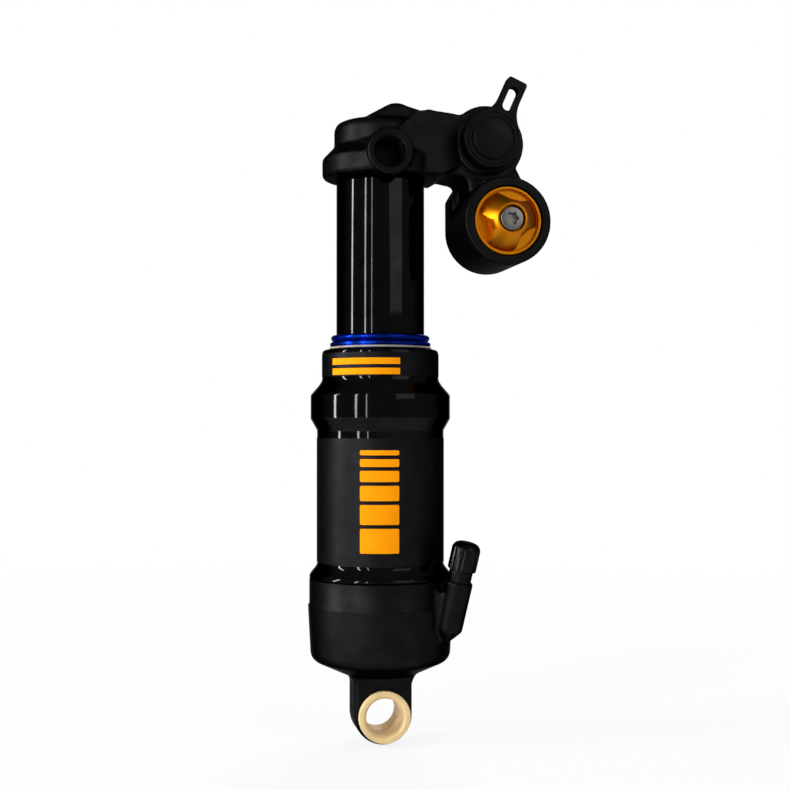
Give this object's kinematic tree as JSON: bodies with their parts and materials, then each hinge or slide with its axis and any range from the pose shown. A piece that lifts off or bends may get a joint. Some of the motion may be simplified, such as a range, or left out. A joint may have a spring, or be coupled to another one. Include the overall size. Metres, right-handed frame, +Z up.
{
  "type": "bicycle rear shock",
  "caption": "Air-sprung bicycle rear shock with a trunnion head, piggyback reservoir, compression lever, rebound dial and lower eyelet.",
  "frame": {"origin": "middle of the lower eyelet's bore", "axes": "+Z up the shaft to the trunnion axis, +Y along the eyelet away from the dial, +X towards the reservoir"},
  "size_m": [0.0779, 0.0501, 0.2201],
  "materials": {
    "black_anodised": "satin black anodised",
    "black_gloss": "polished black anodised",
    "black_plastic": "moulded",
    "black_rubber": "moulded",
    "blue_seal": "moulded",
    "gold_anodised": "turned and gold anodised",
    "cream_polymer": "moulded",
    "pale_ring": "moulded",
    "steel": "ground",
    "bare_aluminium": "machined",
    "brass": "turned"
  },
  "bodies": {
    "can": {"lower_end_cap": "black_anodised", "lower_bush_front": "cream_polymer", "lower_bush_rear": "cream_polymer", "air_can": "black_gloss", "can_seal": "black_rubber", "guide_bush": "bare_aluminium", "air_seal": "black_rubber", "dust_wiper": "blue_seal", "wiper_retaining_ring": "pale_ring", "top_out_bumper": "black_rubber", "bottom_out_bumper": "black_rubber", "damper_rod": "steel", "main_piston": "bare_aluminium", "piston_band": "black_plastic", "compression_shim_1": "steel", "compression_shim_2": "steel", "compression_shim_3": "steel", "rebound_shim_1": "steel", "rebound_shim_2": "steel", "piston_nut": "steel", "valve_stem": "black_anodised"},
    "damper": {"head": "black_anodised", "head_seal": "black_rubber", "damper_tube": "black_gloss", "inner_tube": "steel", "air_piston": "bare_aluminium", "air_piston_seal": "black_rubber", "air_piston_band": "black_plastic", "rod_guide": "bare_aluminium", "rod_seal": "black_rubber", "reservoir_end_cap": "black_anodised", "reservoir_end_seal": "black_rubber", "gas_fill_screw": "steel", "adjuster_plug": "black_anodised", "adjuster_plug_seal": "black_rubber"},
    "compression_lever": {"lever": "black_anodised", "lever_spindle": "steel", "lever_spindle_seal": "black_rubber"},
    "dial": {"rebound_dial": "gold_anodised", "dial_screw": "steel", "adjuster_spindle": "steel"},
    "gas_piston": {"floating_piston": "bare_aluminium", "floating_piston_seal": "black_rubber"},
    "air_valve_cap": {"valve_cap": "black_plastic", "valve_cap_seal": "black_rubber"},
    "air_valve_pin": {"valve_core_pin": "brass"}
  },
  "joints": [
    {"name": "stroke", "type": "slide", "parent": "can", "child": "damper", "axis": [0, 0, 1], "range_m": [-0.05, 0], "stiffness_N_per_m": 4000, "springref_m": 0.01},
    {"name": "lever_turn", "type": "hinge", "parent": "damper", "child": "compression_lever", "pos_m": [0.034, 0, 0.1902], "axis": [0, 1, 0], "range_deg": [-45, 45]},
    {"name": "dial_turn", "type": "hinge", "parent": "damper", "child": "dial", "pos_m": [0.0394, 0, 0.1636], "axis": [0, 1, 0], "range_deg": [-150, 150]},
    {"name": "gas_piston_slide", "type": "slide", "parent": "damper", "child": "gas_piston", "axis": [0, 1, 0], "range_m": [0, 0.0087]},
    {"name": "valve_cap_lift", "type": "slide", "parent": "can", "child": "air_valve_cap", "axis": [0.1853, -0.1555, 0.9703], "range_m": [0, 0.014]},
    {"name": "valve_pin_push", "type": "slide", "parent": "can", "child": "air_valve_pin", "axis": [0.1853, -0.1555, 0.9703], "range_m": [-0.0012, 0], "stiffness_N_per_m": 100, "springref_m": 0.001}
  ],
  "couplings": [
    {"joint": "gas_piston_slide", "follows": "stroke", "ratio": -0.17361}
  ]
}
